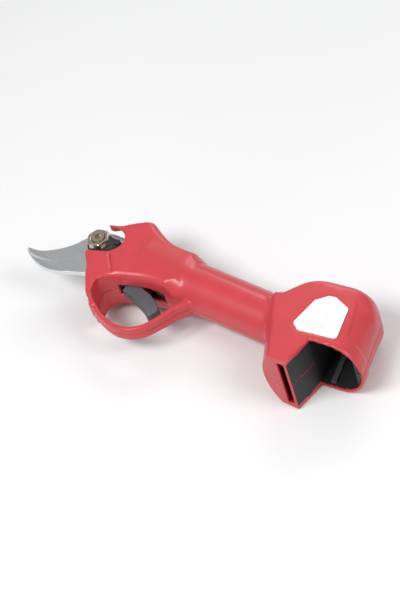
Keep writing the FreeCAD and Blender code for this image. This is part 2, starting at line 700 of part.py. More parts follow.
def hall_sensor_board():
    return box(58.0, 70.0, -12.6 + WALL, -12.6 + WALL + 1.0, -3.5, 3.5)


# ---------------------------------------------------------------- battery bay
TERMINAL_Y = BAY_TOP_Y - 9.0
TERMINAL_X = 206.0


def terminal_block():
    block = box(TERMINAL_X - 13, TERMINAL_X + 9, TERMINAL_Y, BAY_TOP_Y - 0.05, -10.0, 10.0)
    slots = [box(TERMINAL_X - 11.4, TERMINAL_X - 2.4, TERMINAL_Y - 1, BAY_TOP_Y - 1, z - 0.5, z + 0.5)
             for z in contact_rows()]
    tails = [box(TERMINAL_X - 9.0, TERMINAL_X - 4.4, TERMINAL_Y, BAY_TOP_Y + 1, z - 0.5, z + 0.5)
             for z in contact_rows()]
    return block.cut(fuse(slots + tails))


def contact_rows():
    return [-6.6, -2.2, 2.2, 6.6]


def battery_contacts():
    """Blades that enter the pack, each with a tail through the bay's ceiling."""
    contacts = []
    for z in contact_rows():
        blade = box(TERMINAL_X - 11.4, TERMINAL_X - 2.4, TERMINAL_Y - 5, BAY_TOP_Y - 1, z - 0.5, z + 0.5)
        tail_end = box(TERMINAL_X - 9.0, TERMINAL_X - 4.4, BAY_TOP_Y - 1.5, BAY_TOP_Y + WALL + 2.5,
                       z - 0.5, z + 0.5)
        contacts.append(blade.fuse(tail_end).removeSplitter())
    return group(contacts)


def contact_slots():
    """Slots in the bay's ceiling for the contact tails."""
    return [box(TERMINAL_X - 9.2, TERMINAL_X - 4.2, BAY_TOP_Y - 1, BAY_TOP_Y + WALL + 1, z - 0.7, z + 0.7)
            for z in contact_rows()]


def battery_rails():
    """Two guide rails for the pack, one on each side wall of the bay."""
    rails = []
    for side in (-1, 1):
        z = side * (TAIL_HALF - WALL - 0.8)
        rail = box(0, 3.5, -24.0, 2.0, z - 0.8, z + 0.8)
        rail.rotate(Vector(), Vector(0, 0, 1), TAIL_REAR_TILT)
        rail.translate(Vector(198.5, 14.0, 0))
        rails.append(rail)
    return group(rails)


# ---------------------------------------------------------------- power switch, label
def rocker_frame():
    x, y = ROCKER_AT
    outer = box(x - 7.5, x + 7.5, y - 5.0, y + 5.0, -TAIL_HALF, -TAIL_HALF + ROCKER_RIM_T)
    neck = box(x - 6.5, x + 6.5, y - 4.0, y + 4.0, -TAIL_HALF, -TAIL_HALF + WALL + 1.0)
    hole = box(x - 5.3, x + 5.3, y - 2.9, y + 2.9, -40, 0)
    pivot = Part.makeCylinder(TRUNNION_R + RUN_FIT, 7.0, Vector(x, y - 3.5, rocker_axis_z()),
                              Vector(0, 1, 0))
    return fuse([outer, neck]).cut(hole).cut(pivot)


def rocker_axis_z():
    return -TAIL_HALF + 2.0


def power_rocker():
    x, y = ROCKER_AT
    z = rocker_axis_z()
    cap = prism([(-4.9, -2.0), (-4.9, 0.6), (4.9, 0.6), (4.9, -2.0), (0.0, -1.2)], -2.6, 2.6)
    cap.rotate(Vector(), Vector(1, 0, 0), -90)
    cap.rotate(Vector(), Vector(0, 1, 0), ROCKER_TILT)
    cap.translate(Vector(x, y, z))
    trunnions = Part.makeCylinder(TRUNNION_R, 6.6, Vector(x, y - 3.3, z), Vector(0, 1, 0))
    return cap.fuse(trunnions).removeSplitter()


LABEL = [(182.2, -6.0), (184.0, 17.0), (190.5, 24.3), (195.5, 25.3), (208.8, 20.8), (216.6, -4.6),
         (189.0, -9.6)]
LABEL_T = 0.5
LABEL_DEPTH = 0.3


def rating_label():
    return prism(LABEL, TAIL_HALF - LABEL_DEPTH, TAIL_HALF - LABEL_DEPTH + LABEL_T)


# ---------------------------------------------------------------- housing halves
def bosses(z0, z1, radius):
    return [cyl(radius, z0, z1, x, y) for x, y in BOSSES]


def outer_side(x, y):
    """Height of the housing's side wall at a boss, measured from the mid plane."""
    if x < 40.0:
        return HEAD_HALF
    if x > HANDLE_X1 - 10.0:
        return TAIL_HALF
    return math.sqrt(max(HANDLE_R ** 2 - (y - HANDLE_Y) ** 2, 0.0))


def housing_shell():
    """Both halves as one hollow body with all of its openings."""
    shell = body(0).cut(body(WALL))
    extras = [bay_wall().common(body(0)), guard()]
    posts = fuse(bosses(-40, 40, BOSS_R)).common(body(0))
    shell = fuse([shell, posts] + extras)
    slot = prism([(33.0, -40), (33.0, -8), (58.0, -8), (70.0, -10), (70.0, -40)],
                 -TRIGGER_HALF_W - 0.5, TRIGGER_HALF_W + 0.5).common(
                     prism([(30, -24), (33, -8), (75, -8), (75, -15.5), (58, -19), (42, -25)], -20, 20))
    x, y = ROCKER_AT
    rocker_hole = box(x - 6.5, x + 6.5, y - 4.0, y + 4.0, -40, -TAIL_HALF + WALL + 1).fuse(
        box(x - 7.5, x + 7.5, y - 5.0, y + 5.0, -40, -TAIL_HALF + ROCKER_RIM_T))
    label_seat = prism(LABEL, TAIL_HALF - LABEL_DEPTH, 40)
    shell = shell.cut(fuse([pivot_window(), blade_slot(), slot, rocker_hole, label_seat]))
    shell = shell.cut(group([bay(), latch_slot()] + contact_slots()))
    return shell.cut(blade_room())


def blade_room():
    """Clearance round the root of the fixed blade."""
    face = fixed_blade_face().makeOffset2D(CLEAR)
    face.translate(Vector(0, 0, -CLEAR))
    return face.extrude(Vector(0, 0, BLADE_T + 2 * CLEAR))


def housing_half(side):
    reach = 60.0
    half_space = box(-100, 300, -100, 100, 0, reach) if side > 0 else box(-100, 300, -100, 100, -reach, 0)
    half = housing_shell().common(half_space)
    if side > 0:
        holes = [cyl(SCREW_R, -1, 9, x, y) for x, y in BOSSES]
    else:
        holes = [cyl(SCREW_R + 0.3, -60, 1, x, y) for x, y in BOSSES]
        holes += [cyl(SCREW_HEAD_R + 0.3, -60, -outer_side(x, y) + 6.0, x, y) for x, y in BOSSES]
    return half.cut(fuse(holes))


def housing_screws():
    screws = []
    for x, y in BOSSES:
        seat = -outer_side(x, y) + 6.0
        head_top = seat - 1.8
        shank = cyl(SCREW_R - 0.02, seat, 8.0, x, y)
        screw = shank.fuse(cyl(SCREW_HEAD_R, head_top, seat, x, y)).removeSplitter()
        cross = box(x - 1.4, x + 1.4, y - 0.35, y + 0.35, head_top - 1, head_top + 0.9)
        cross = cross.fuse(box(x - 0.35, x + 0.35, y - 1.4, y + 1.4, head_top - 1, head_top + 0.9))
        screws.append(screw.cut(cross))
    return group(screws)


# ---------------------------------------------------------------- all pieces
def build():
    nodes["left_housing"] = housing_half(1)
    nodes["right_housing"] = housing_half(-1)
    nodes["housing_screws"] = housing_screws()
    nodes["rating_label"] = rating_label()
    nodes["head_frame"] = head_frame()
    nodes["fixed_blade"] = fixed_blade()
    nodes["blade_screws"] = blade_screws()
    nodes["moving_blade"] = moving_blade()
    nodes["sector_gear"] = sector_gear()
    nodes["sector_rivets"] = group([cyl(RIVET_R, MOVING_Z + 0.3, MOVING_Z + BLADE_T, x, y)
                                    for x, y in RIVETS])
    bush = cyl(BOLT_R + BUSH_T + RUN_FIT, MOVING_Z, MOVING_Z + BLADE_T)
    nodes["pivot_bushing"] = bush.cut(cyl(BOLT_R + RUN_FIT, 0, 30))
    washer = cyl(FRAME_BOSS_R, FRAME_TOP, FRAME_TOP + WASHER_T)
    nodes["thrust_washer"] = washer.cut(cyl(BOLT_R + RUN_FIT, 0, 30))
    nodes["pivot_bolt"] = pivot_bolt()
    nodes["pivot_nut"] = pivot_nut()
    nodes["lock_plate"] = lock_plate()
    head_z = NUT_Z + 1.4
    lock_screw = cyl(2.3, NUT_Z, head_z, *LOCK_SCREW_AT).fuse(cyl(1.28, FIXED_Z + 0.5, NUT_Z, *LOCK_SCREW_AT))
    nodes["lock_screw"] = lock_screw.removeSplitter()
    nodes["drive_pinion"] = drive_pinion()
    nodes["output_bearing"] = output_bearing()
    nodes["planet_carrier"] = planet_carrier()
    nodes["planet_pins"] = planet_pins()
    for number, angle in enumerate(planet_seats(), 1):
        nodes[f"planet_gear_{number}"] = planet_gear(angle)
    nodes["sun_gear"] = sun_gear()
    nodes["gearbox_housing"] = gearbox_housing()
    nodes["motor_can"] = motor_can()
    nodes["motor_stator"] = motor_stator()
    nodes["motor_rotor"] = motor_rotor()
    nodes["motor_shaft"] = motor_shaft()
    nodes["motor_bearings"] = motor_bearings()
    nodes["motor_end_cap"] = motor_end_cap()
    nodes["trigger"] = trigger()
    nodes["trigger_magnet"] = trigger_magnet()
    pin_half = HEAD_HALF - WALL - 0.2
    nodes["trigger_pin"] = cyl(TRIGGER_PIN_R, -pin_half, pin_half, *TRIGGER_PIN)
    nodes["hall_sensor_board"] = hall_sensor_board()
    nodes["control_board"] = control_board()
    nodes["power_transistors"] = power_transistors()
    nodes["board_heatsink"] = board_heatsink()
    nodes["capacitors"] = capacitors()
    nodes["buzzer"] = buzzer()
    nodes["trigger_spring"] = torsion_spring()
    nodes["motor_leads"] = motor_leads()
    nodes["battery_leads"] = battery_leads()
    nodes["battery_rails"] = battery_rails()
    nodes["terminal_block"] = terminal_block()
    nodes["battery_contacts"] = battery_contacts()
    nodes["rocker_frame"] = rocker_frame()
    nodes["power_rocker"] = power_rocker()


def export():
    """Move the origin to the bottom centre of the whole tool and write every node."""
    whole = group(list(nodes.values())).optimalBoundingBox()
    shift = Vector(-(whole.XMin + whole.XMax) / 2, -(whole.YMin + whole.YMax) / 2, -whole.ZMin)
    for name, shape in nodes.items():
        moved = shape.copy()
        moved.translate(shift)
        moved.exportStep(f"parts/{name}.step")
    print("pivot axis at", round(shift.x, 4), round(shift.y, 4), "mid plane at", round(shift.z, 4))
    print("size", round(whole.XLength, 2), round(whole.YLength, 2), round(whole.ZLength, 2))


build()
export()
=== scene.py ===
import math

import bpy
import numpy as np
import openvdb
from mathutils import Matrix, Vector
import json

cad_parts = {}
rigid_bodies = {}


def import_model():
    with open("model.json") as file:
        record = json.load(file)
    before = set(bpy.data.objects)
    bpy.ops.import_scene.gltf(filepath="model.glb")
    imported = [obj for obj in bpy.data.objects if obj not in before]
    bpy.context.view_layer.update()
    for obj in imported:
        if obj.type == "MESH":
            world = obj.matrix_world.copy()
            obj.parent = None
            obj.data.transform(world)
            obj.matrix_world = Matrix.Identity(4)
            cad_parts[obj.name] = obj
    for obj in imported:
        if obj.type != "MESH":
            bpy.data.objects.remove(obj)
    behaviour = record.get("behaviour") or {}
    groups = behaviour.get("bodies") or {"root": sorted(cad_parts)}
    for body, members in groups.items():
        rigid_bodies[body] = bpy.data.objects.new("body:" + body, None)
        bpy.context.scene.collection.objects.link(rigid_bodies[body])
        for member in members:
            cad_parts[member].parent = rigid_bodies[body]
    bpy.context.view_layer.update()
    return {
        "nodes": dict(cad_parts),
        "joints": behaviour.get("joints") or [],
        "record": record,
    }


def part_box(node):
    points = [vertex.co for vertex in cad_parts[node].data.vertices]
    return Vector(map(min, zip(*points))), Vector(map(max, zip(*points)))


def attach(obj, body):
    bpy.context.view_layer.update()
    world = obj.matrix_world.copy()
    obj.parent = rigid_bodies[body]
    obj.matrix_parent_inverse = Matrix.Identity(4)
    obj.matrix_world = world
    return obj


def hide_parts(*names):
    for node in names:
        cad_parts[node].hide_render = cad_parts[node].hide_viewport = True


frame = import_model()

# The tool is drawn in millimetres about its pivot: the pivot axis is z through x = y = 0,
# -x runs to the blade tip, +x to the battery housing, +z is the nut side, and the housing
# halves part at z = 0.
MM = 0.001
PIVOT = next(joint for joint in frame["joints"] if joint["name"] == "blade_pivot")["pos_m"]
ORIGIN = Vector((PIVOT[0], PIVOT[1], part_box("left_housing")[0].z)) / MM
MERGE = 0.02        # joins faces where a surface is nearly flat
SHARP = 32.0        # edges bent by more than this stay sharp, in degrees


# ---------------------------------------------------------------- fields
def smooth_line(points, steps=6):
    """Points of a smooth open curve through the given ones."""
    p = np.array(points, float)
    ends = np.vstack([2 * p[0] - p[1], p, 2 * p[-1] - p[-2]])
    out = []
    for i in range(len(p) - 1):
        a, b, c, d = ends[i:i + 4]
        for s in range(steps):
            t = s / steps
            out.append(0.5 * (2 * b + (c - a) * t + (2 * a - 5 * b + 4 * c - d) * t ** 2
                              + (3 * b - a - 3 * c + d) * t ** 3))
    out.append(p[-1])
    return [tuple(q) for q in out]


def to_segment(x, y, a, b):
    """Distance from the points x, y to the segment a-b."""
    dx, dy = b[0] - a[0], b[1] - a[1]
    t = np.clip(((x - a[0]) * dx + (y - a[1]) * dy) / (dx * dx + dy * dy), 0, 1)
    return np.hypot(x - a[0] - t * dx, y - a[1] - t * dy)


def to_line(x, y, points):
    """Distance to an open polyline."""
    best = to_segment(x, y, points[0], points[1])
    for a, b in zip(points[1:-1], points[2:]):
        best = np.minimum(best, to_segment(x, y, a, b))
    return best


def to_polygon(x, y, points):
    """Signed distance to a closed polygon, negative inside."""
    inside = np.zeros(np.broadcast(x, y).shape, bool)
    for a, b in zip(points, points[1:] + points[:1]):
        if a[1] != b[1]:
            crosses = (a[1] > y) != (b[1] > y)
            inside ^= crosses & (x < (b[0] - a[0]) * (y - a[1]) / (b[1] - a[1]) + a[0])
    distance = to_line(x, y, points + points[:1])
    return np.where(inside, -distance, distance)


def slab(z, low, high):
    """Distance to the layer between two heights."""
    return np.maximum(low - z, z - high)


def rounded(flat, high, radius):
    """Intersection of two distances, its edge rounded by radius."""
    a, b = flat + radius, high + radius
    return (np.minimum(np.maximum(a, b), 0)
            + np.hypot(np.maximum(a, 0), np.maximum(b, 0)) - radius)


def join(a, b, k):
    """Smooth union over a width k."""
    h = np.clip(k - np.abs(a - b), 0, None) / k
    return np.minimum(a, b) - h * h * k / 4


def ease(value, start, end):
    t = np.clip((value - start) / (end - start), 0, 1)
    return t * t * (3 - 2 * t)


def mesh_from_field(name, low, high, step, field):
    """Closed mesh of the places where field(x, y, z) is negative; sizes in mm."""
    axes = [np.arange(low[i], high[i] + step, step, dtype=np.float32) for i in range(3)]
    x, y, z = axes[0][:, None, None], axes[1][None, :, None], axes[2][None, None, :]
    values = np.broadcast_to(field(x, y, z), [len(a) for a in axes]).astype(np.float32)
    limit = np.float32(3 * step)
    grid = openvdb.FloatGrid(float(limit))
    grid.copyFromArray(np.ascontiguousarray(np.clip(values, -limit, limit)))
    points, triangles, quads = grid.convertToPolygons(isovalue=0.0, adaptivity=MERGE)
    world = (points * step + np.array(low) + np.array(ORIGIN)) * MM
    mesh = bpy.data.meshes.new(name)
    mesh.from_pydata(world.tolist(), [], triangles.tolist() + quads.tolist())
    mesh.validate()
    mesh.polygons.foreach_set("use_smooth", np.ones(len(mesh.polygons), bool))
    mesh.set_sharp_from_angle(angle=math.radians(SHARP))
    obj = bpy.data.objects.new(name, mesh)
    bpy.context.scene.collection.objects.link(obj)
    return obj


# ---------------------------------------------------------------- outlines (mm)
WALL = 2.2
HANDLE_R, HANDLE_Y = 17.5, 4.7
HEAD_HALF, TAIL_HALF = 17.0, 24.0
REAR_SLOPE, FRONT_SLOPE = math.tan(math.radians(17.0)), math.tan(math.radians(32.0))
REAR_X, FRONT_X = 233.5, 162.0
FRONT_R = 33.8                 # radius of the battery housing's bulged front wall
FRONT_BULGE = 10.0             # how far that wall bulges
CONE_SLOPE = 0.62              # how the head widens forward of x = CONE_X
CONE_X = 80.0
TUBE_FROM, TUBE_TO = 40.0, 185.0
SLANT = 0.85                   # keeps a sloping wall's field close to a true distance
RIM_Y = -7.0                   # below this the bay is open
GUARD_T, GUARD_HALF = 3.6, 5.5
TRIGGER_HALF = 4.6

HEAD_NOSE = [(-2.0, 14.5), (-1.6, -13.8), (26.5, -45.3)]
HEAD_THROAT = smooth_line([(29.5, -43.5), (26.0, -36.0), (25.0, -29.5), (31.0, -23.0),
                           (42.0, -18.9), (58.0, -14.2), (80.0, -12.8)])
HEAD_TOP = smooth_line([(80.0, 22.2), (62.0, 21.6), (50.0, 22.8), (38.0, 27.0), (29.5, 31.2)])
HEAD_HUMP = smooth_line([(21.5, 31.8), (13.0, 26.0), (5.0, 19.3), (-2.0, 14.5)])
HEAD = HEAD_NOSE + HEAD_THROAT + HEAD_TOP + [(26.0, 32.4)] + HEAD_HUMP[:-1]
GUARD_MID = smooth_line([(27.5, -43.6), (38.0, -48.6), (47.7, -51.5), (56.8, -52.5),
                         (64.3, -51.0), (69.8, -48.3), (75.0, -43.4), (78.6, -36.8),
                         (81.5, -29.0), (84.4, -20.1), (90.5, -11.0)])
WINDOW = [(-20, -12.2), (-1.0, -12.2), (12.0, -7.4), (12.0, 13.6), (0.5, 14.2), (-20, 14.2)]
BLADE_SLOT = [(-20, -50), (2.5, -32.0), (12.5, -24.6), (14.0, 12.0), (6.0, 24.0), (-20, 30)]
TAIL_TOP = smooth_line([(160.0, 14.0), (166.0, 24.0), (171.0, 32.0), (179.0, 37.5),
                        (192.0, 40.2), (206.0, 42.3), (214.0, 42.0), (221.0, 37.0)])
TAIL = ([(147.0, 8.0)] + TAIL_TOP + [(235.94, -8.0), (200.2, -12.2), (198.2, -36.5), (174.8, -36.5)])
BAY = [(190.2, 20.0), (199.6, -12.2), (198.0, -66.5), (280.0, -80.0), (280.0, 20.0)]
BAY_WALL = [(187.6, 22.2), (197.6, -12.2), (196.0, -66.5), (280.0, -80.0), (280.0, 22.2)]
LATCH = [(196.2, -41.5), (190.7, -41.5), (189.7, -18.5), (195.2, -18.5)]
GROOVE = [(17.2, -7.6), (31.2, -21.3)]
STEP_LINE = [(211.5, 23.5), (219.2, 4.8)]      # edge of the raised label side
COLLAR_LINE = [(219.2, 4.8), (219.7, 2.9), (229.6, 0.9), (250.0, 1.4)]
LABEL_CORE = [(189.4, -7.1), (213.7, -2.8), (206.9, 18.9), (195.3, 22.9), (191.6, 22.1),
              (186.2, 16.1), (184.6, -4.2)]
LABEL_ROUND = 2.4
HOOK_ROOT = [(6.0, -27.4), (12.0, -25.0), (22.0, -17.0), (33.0, -14.2), (33.0, 16.2), (25.0, 16.2),
             (15.0, 12.5), (4.0, 12.5), (-4.0, 11.2), (-9.5, 7.0), (-11.5, 1.0), (-9.8, -7.0)]
HOOK_OUTER = smooth_line([(-52.5, -24.3), (-49.5, -28.0), (-42.5, -31.8), (-31.5, -35.3),
                          (-22.0, -36.2), (-12.4, -34.6), (-3.1, -30.6), (6.0, -27.4)])
HOOK_INNER = smooth_line([(-9.8, -7.0), (-10.8, -13.0), (-15.0, -19.8), (-21.7, -24.3),
                          (-30.2, -27.2), (-40.2, -28.3), (-46.5, -27.6), (-52.5, -24.3)])
BOSSES = [(20.8, -33.5), (26.0, 25.5), (48.0, 18.6), (112.0, -7.5), (152.0, -7.5),
          (173.0, 13.0), (213.0, 33.0)]


# ---------------------------------------------------------------- housing
def tail_field(x, y, z, inset):
    """Battery housing: rounded rear wall, bulged front wall, and a softer top edge."""
    rear = x - (REAR_X - y * REAR_SLOPE - TAIL_HALF)
    front = (FRONT_X - y * FRONT_SLOPE + FRONT_R - FRONT_BULGE) - x
    back_wall = np.where(rear > 0, np.hypot(np.maximum(rear, 0), z) - TAIL_HALF, np.abs(z) - TAIL_HALF)
    nose_wall = (np.hypot(np.maximum(front, 0), z) - FRONT_R) * SLANT
    flat = to_polygon(x, y, TAIL)
    top = ease(y, 24.0, 40.0) * (2.0 + 5.5 * ease(z, -16.0, -2.0))
    body = rounded(flat, np.maximum(back_wall, np.abs(z) - TAIL_HALF), 1.2 + top)
    return np.maximum(body, nose_wall) + inset


def head_field(x, y, z, inset):
    """Head: a plate with rounded edges that narrows into the handle; the nose stays sharp."""
    flat = to_polygon(x, y, HEAD)
    radius = 0.8 + 4.6 * ease(y, -34.0, -18.0) * ease(x, -3.0, 8.0)
    solid = rounded(flat, np.abs(z) - HEAD_HALF, radius)
    cone = (np.hypot(y - HANDLE_Y, z) - HANDLE_R - CONE_SLOPE * (CONE_X - x)) * SLANT
    return np.maximum(solid, cone) + inset


def body_field(x, y, z, inset):
    tube = np.maximum(np.hypot(y - HANDLE_Y, z) - HANDLE_R, slab(x, TUBE_FROM, TUBE_TO)) + inset
    return join(join(tube, head_field(x, y, z, inset), 5.0), tail_field(x, y, z, inset), 3.0)


def relief(x, y):
    """How far the rear wall lies below the raised label side and the collar above the rim."""
    (ax, ay), (bx, by) = STEP_LINE
    right_of = ((x - ax) * (by - ay) - (y - ay) * (bx - ax)) / math.hypot(bx - ax, by - ay)
    above = to_polygon(x, y, COLLAR_LINE + [(250.0, 60.0), (180.0, 60.0), (205.0, 38.0)])
    return 0.75 * ease(-right_of, 0.0, 0.9) * ease(-above, -0.1, 0.9) * ease(-y, -33.0, -24.0)


def guard_field(x, y, z):
    """Finger guard: a ribbon that flares where it runs into the handle."""
    flat = to_line(x, y, GUARD_MID) - GUARD_T / 2
    flare = 2.2 * ease(x, 79.0, 90.0)
    return rounded(flat - 0.6 * flare, np.abs(z) - GUARD_HALF - 0.4 * flare, 1.1)


def housing_field(x, y, z):
    """Both halves as one hollow shell with its openings."""
    outer = body_field(x, y, z, 0.0) + relief(x, y)
    shell = np.maximum(outer, -body_field(x, y, z, WALL))
    wall = np.maximum(to_polygon(x, y, BAY_WALL), outer + 1.0)
    shell = np.minimum(shell, wall)
    for bx, by in BOSSES:
        shell = np.minimum(shell, np.maximum(np.hypot(x - bx, y - by) - 3.1, outer + 1.0))
    blend = 4.0 - 2.8 * ease(x, 66.0, 80.0)
    shell = join(shell, guard_field(x, y, z), blend)
    groove = np.hypot(to_line(x, y, GROOVE), (z - HEAD_HALF) * 0.6) - 0.75
    window = np.minimum(np.hypot(x - 7.6, y - 3.2) - 11.5, to_polygon(x, y, WINDOW))
    blades = np.maximum(to_polygon(x, y, BLADE_SLOT), slab(z, -1.1, 11.3))
    root = np.maximum(to_polygon(x, y, HOOK_OUTER + HOOK_ROOT[1:] + HOOK_INNER[1:-1]) - 0.4,
                      slab(z, 6.6, 11.4))
    mouth = to_polygon(x, y, [(30, -24), (33, -8), (75, -8), (75, -15.5), (58, -19), (42, -25)])
    trigger = np.maximum(np.maximum(mouth, slab(x, 33.0, 70.0)), np.abs(z) - TRIGGER_HALF - 0.5)
    inside = np.maximum(tail_field(x, y, z, WALL), to_polygon(x, y, BAY))
    below = np.maximum(np.maximum(np.abs(z) - TAIL_HALF + WALL, to_polygon(x, y, BAY)),
                       np.hypot(np.maximum(x - (REAR_X - y * REAR_SLOPE - TAIL_HALF), 0), z)
                       - TAIL_HALF + WALL)
    inside = np.minimum(inside, np.maximum(below, y - RIM_Y))
    latch = np.maximum(to_polygon(x, y, LATCH), np.abs(z) - 20.0)
    label = np.maximum(to_polygon(x, y, LABEL_CORE) - LABEL_ROUND - 0.1, TAIL_HALF - 0.3 - z)
    rocker = np.minimum(
        np.maximum(np.maximum(np.abs(x - 194.0) - 6.5, np.abs(y - 29.5) - 4.0), z + 20.8),
        np.maximum(np.maximum(np.abs(x - 194.0) - 7.5, np.abs(y - 29.5) - 5.0), z + 23.2))
    for cut in (window, blades, root, trigger, inside, latch, label, rocker, groove):
        shell = np.maximum(shell, -cut)
    return shell


def half_field(side):
    """Field of one half: side is 1 for the nut side and -1 for the far side."""
    def field(x, y, z):
        return np.maximum(housing_field(x, y, z), 0.06 - z * side)
    return field


left = mesh_from_field("left_shell", (-5, -57, -0.6), (240, 45, 25.2), 0.75, half_field(1))
right = mesh_from_field("right_shell", (-5, -57, -25.2), (240, 45, 0.6), 0.75, half_field(-1))
for shell, node in ((left, "left_housing"), (right, "right_housing")):
    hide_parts(node)
    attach(shell, "tool")


# ---------------------------------------------------------------- blades, pivot, trigger, label
HOOK = HOOK_OUTER + HOOK_ROOT[1:] + HOOK_INNER[1:-1]
CRESCENT_SPINE = smooth_line([(-53.2, -23.4), (-46.0, -23.0), (-39.4, -20.8), (-32.7, -16.4),
                              (-26.7, -11.0), (-21.7, -4.6), (-18.9, 1.0), (-15.0, 6.5),
                              (-8.0, 10.0)])
CRESCENT_EDGE = smooth_line([(-7.5, -9.5), (-10.0, -15.0), (-14.6, -22.0), (-21.6, -27.0),
                             (-30.8, -30.0), (-40.8, -31.0), (-50.0, -27.6), (-53.2, -23.4)])
CRESCENT = CRESCENT_SPINE + CRESCENT_EDGE[:-1]
POSTS = [(29.8, -10.8), (29.2, 13.0)]          # screws of the hook blade
POST_HOLE_R = 2.0
LOCK_SCREW = (12.4, 5.6)
BOLT_HOLE_R = 5.04
HUB_R = 12.8                                   # round root of the crescent
BUSH_R = 6.54
FLANGE_R = 24.5                                # flange that carries the gear sector
RIVET_CIRCLE, RIVET_R = 17.5, 1.2
NUT_HALF = 7.5                                 # half the width across flats
TRIGGER_PIN = (41.0, -13.4)
GROUND_SLOPE = 0.75                            # slope of the ground cutting faces
LOCK_TONGUE = [(6, -6.5), (14.6, 3.0), (14.2, 7.6), (9.8, 8.2), (0, 8.6)]
TRIGGER = ([(37.6, -15.0)] + smooth_line([(38.6, -23.6), (48.0, -25.1), (56.0, -27.4),
                                          (64.0, -30.6), (70.6, -34.6)])
           + smooth_line([(72.8, -33.0), (74.2, -26.0), (68.0, -21.0), (60.5, -17.6),
                          (52.5, -15.6), (47.0, -13.4), (42.0, -11.4)]))


def heights(node):
    """Lowest and highest point of a CAD node above the parting plane."""
    low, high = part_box(node)
    return low.z / MM - ORIGIN.z, high.z / MM - ORIGIN.z


def round_hole(x, y, at, radius):
    return np.hypot(x - at[0], y - at[1]) - radius


HOOK_Z = heights("fixed_blade")
CRESCENT_Z = heights("moving_blade")
PLATE_Z = heights("lock_plate")
NUT_Z = heights("pivot_nut")


def hook_field(x, y, z):
    """Hook blade with its inner edge ground on the nut side."""
    flat = to_polygon(x, y, HOOK)
    ground = z - HOOK_Z[1] + GROUND_SLOPE * np.maximum(3.4 - to_line(x, y, HOOK_INNER[3:]), 0)
    blade = np.maximum(rounded(flat, slab(z, *HOOK_Z), 0.25), ground * 0.8)
    holes = np.minimum(round_hole(x, y, (0, 0), BOLT_HOLE_R), round_hole(x, y, LOCK_SCREW, 1.3))
    for post in POSTS:
        holes = np.minimum(holes, round_hole(x, y, post, POST_HOLE_R))
    return np.maximum(blade, -holes)


def crescent_field(x, y, z):
    """Moving blade: the crescent, its hub, and the flange that carries the gear sector."""
    low, high = CRESCENT_Z
    flat = to_polygon(x, y, CRESCENT)
    angle = np.degrees(np.arctan2(y, x))
    sector = np.maximum(np.hypot(x, y) - FLANGE_R, (np.abs(angle - 24.0) - 35.6) * 0.3)
    root = np.minimum(np.hypot(x, y) - HUB_R, np.maximum(sector, slab(z, low + 2.0, high)))
    ground = low - z + GROUND_SLOPE * np.maximum(3.2 - to_line(x, y, CRESCENT_EDGE[4:]), 0)
    blade = np.maximum(rounded(flat, slab(z, low, high), 0.25), ground * 0.8)
    blade = np.minimum(blade, np.maximum(root, slab(z, low, high)))
    holes = round_hole(x, y, (0, 0), BUSH_R)
    for degrees in (6.0, 26.0, 46.0):
        turn = math.radians(degrees)
        rivet = (RIVET_CIRCLE * math.cos(turn), RIVET_CIRCLE * math.sin(turn))
        holes = np.minimum(holes, round_hole(x, y, rivet, RIVET_R))
    return np.maximum(blade, -holes)


def nut_field(x, y, z):
    """Hexagon nut, chamfered on top, its bore opened by a countersink."""
    top = NUT_Z[1]
    sides = [x * math.cos(math.radians(a)) + y * math.sin(math.radians(a)) for a in range(42, 402, 60)]
    flat = sides[0]
    for side in sides[1:]:
        flat = np.maximum(flat, side)
    radius = np.hypot(x, y)
    nut = rounded(flat - NUT_HALF, slab(z, *NUT_Z), 0.3)
    nut = np.maximum(nut, (radius - NUT_HALF - 0.25 + 1.1 * (z - top)) * 0.67)
    bore = np.minimum(radius - 5.02, (radius - 5.0 - 0.9 * (z - top + 0.7)) * 0.74)
    return np.maximum(nut, -bore)


def plate_field(x, y, z):
    """Lock plate under the nut, with a tongue out to its screw."""
    flat = np.minimum(np.hypot(x, y) - 9.6, to_polygon(x, y, LOCK_TONGUE))
    plate = rounded(flat, slab(z, *PLATE_Z), 0.35)
    holes = np.minimum(round_hole(x, y, (0, 0), BOLT_HOLE_R), round_hole(x, y, LOCK_SCREW, 1.5))
    return np.maximum(plate, -holes)


def trigger_field(x, y, z):
    """Finger lever, dished along its front, with the boss of its pin."""
    flat = np.minimum(to_polygon(x, y, TRIGGER), round_hole(x, y, TRIGGER_PIN, 3.4))
    lever = rounded(flat, np.abs(z) - TRIGGER_HALF, 1.3)
    dish = np.hypot(to_line(x, y, TRIGGER[1:18]) + 5.2, z) - 6.0
    lever = np.maximum(lever, -np.maximum(dish, slab(x, 44.0, 68.0)))
    return np.maximum(lever, -round_hole(x, y, TRIGGER_PIN, 1.54))


def round_outline(core, radius, steps=6):
    """Outline at a distance round a convex polygon, anticlockwise."""
    out = []
    count = len(core)
    for i, (x, y) in enumerate(core):
        before, after = core[i - 1], core[(i + 1) % count]
        first = math.atan2(y - before[1], x - before[0]) - math.pi / 2
        last = math.atan2(after[1] - y, after[0] - x) - math.pi / 2
        turn = (last - first + math.pi) % (2 * math.pi) - math.pi
        for s in range(steps + 1):
            angle = first + turn * s / steps
            out.append((x + radius * math.cos(angle), y + radius * math.sin(angle)))
    return out


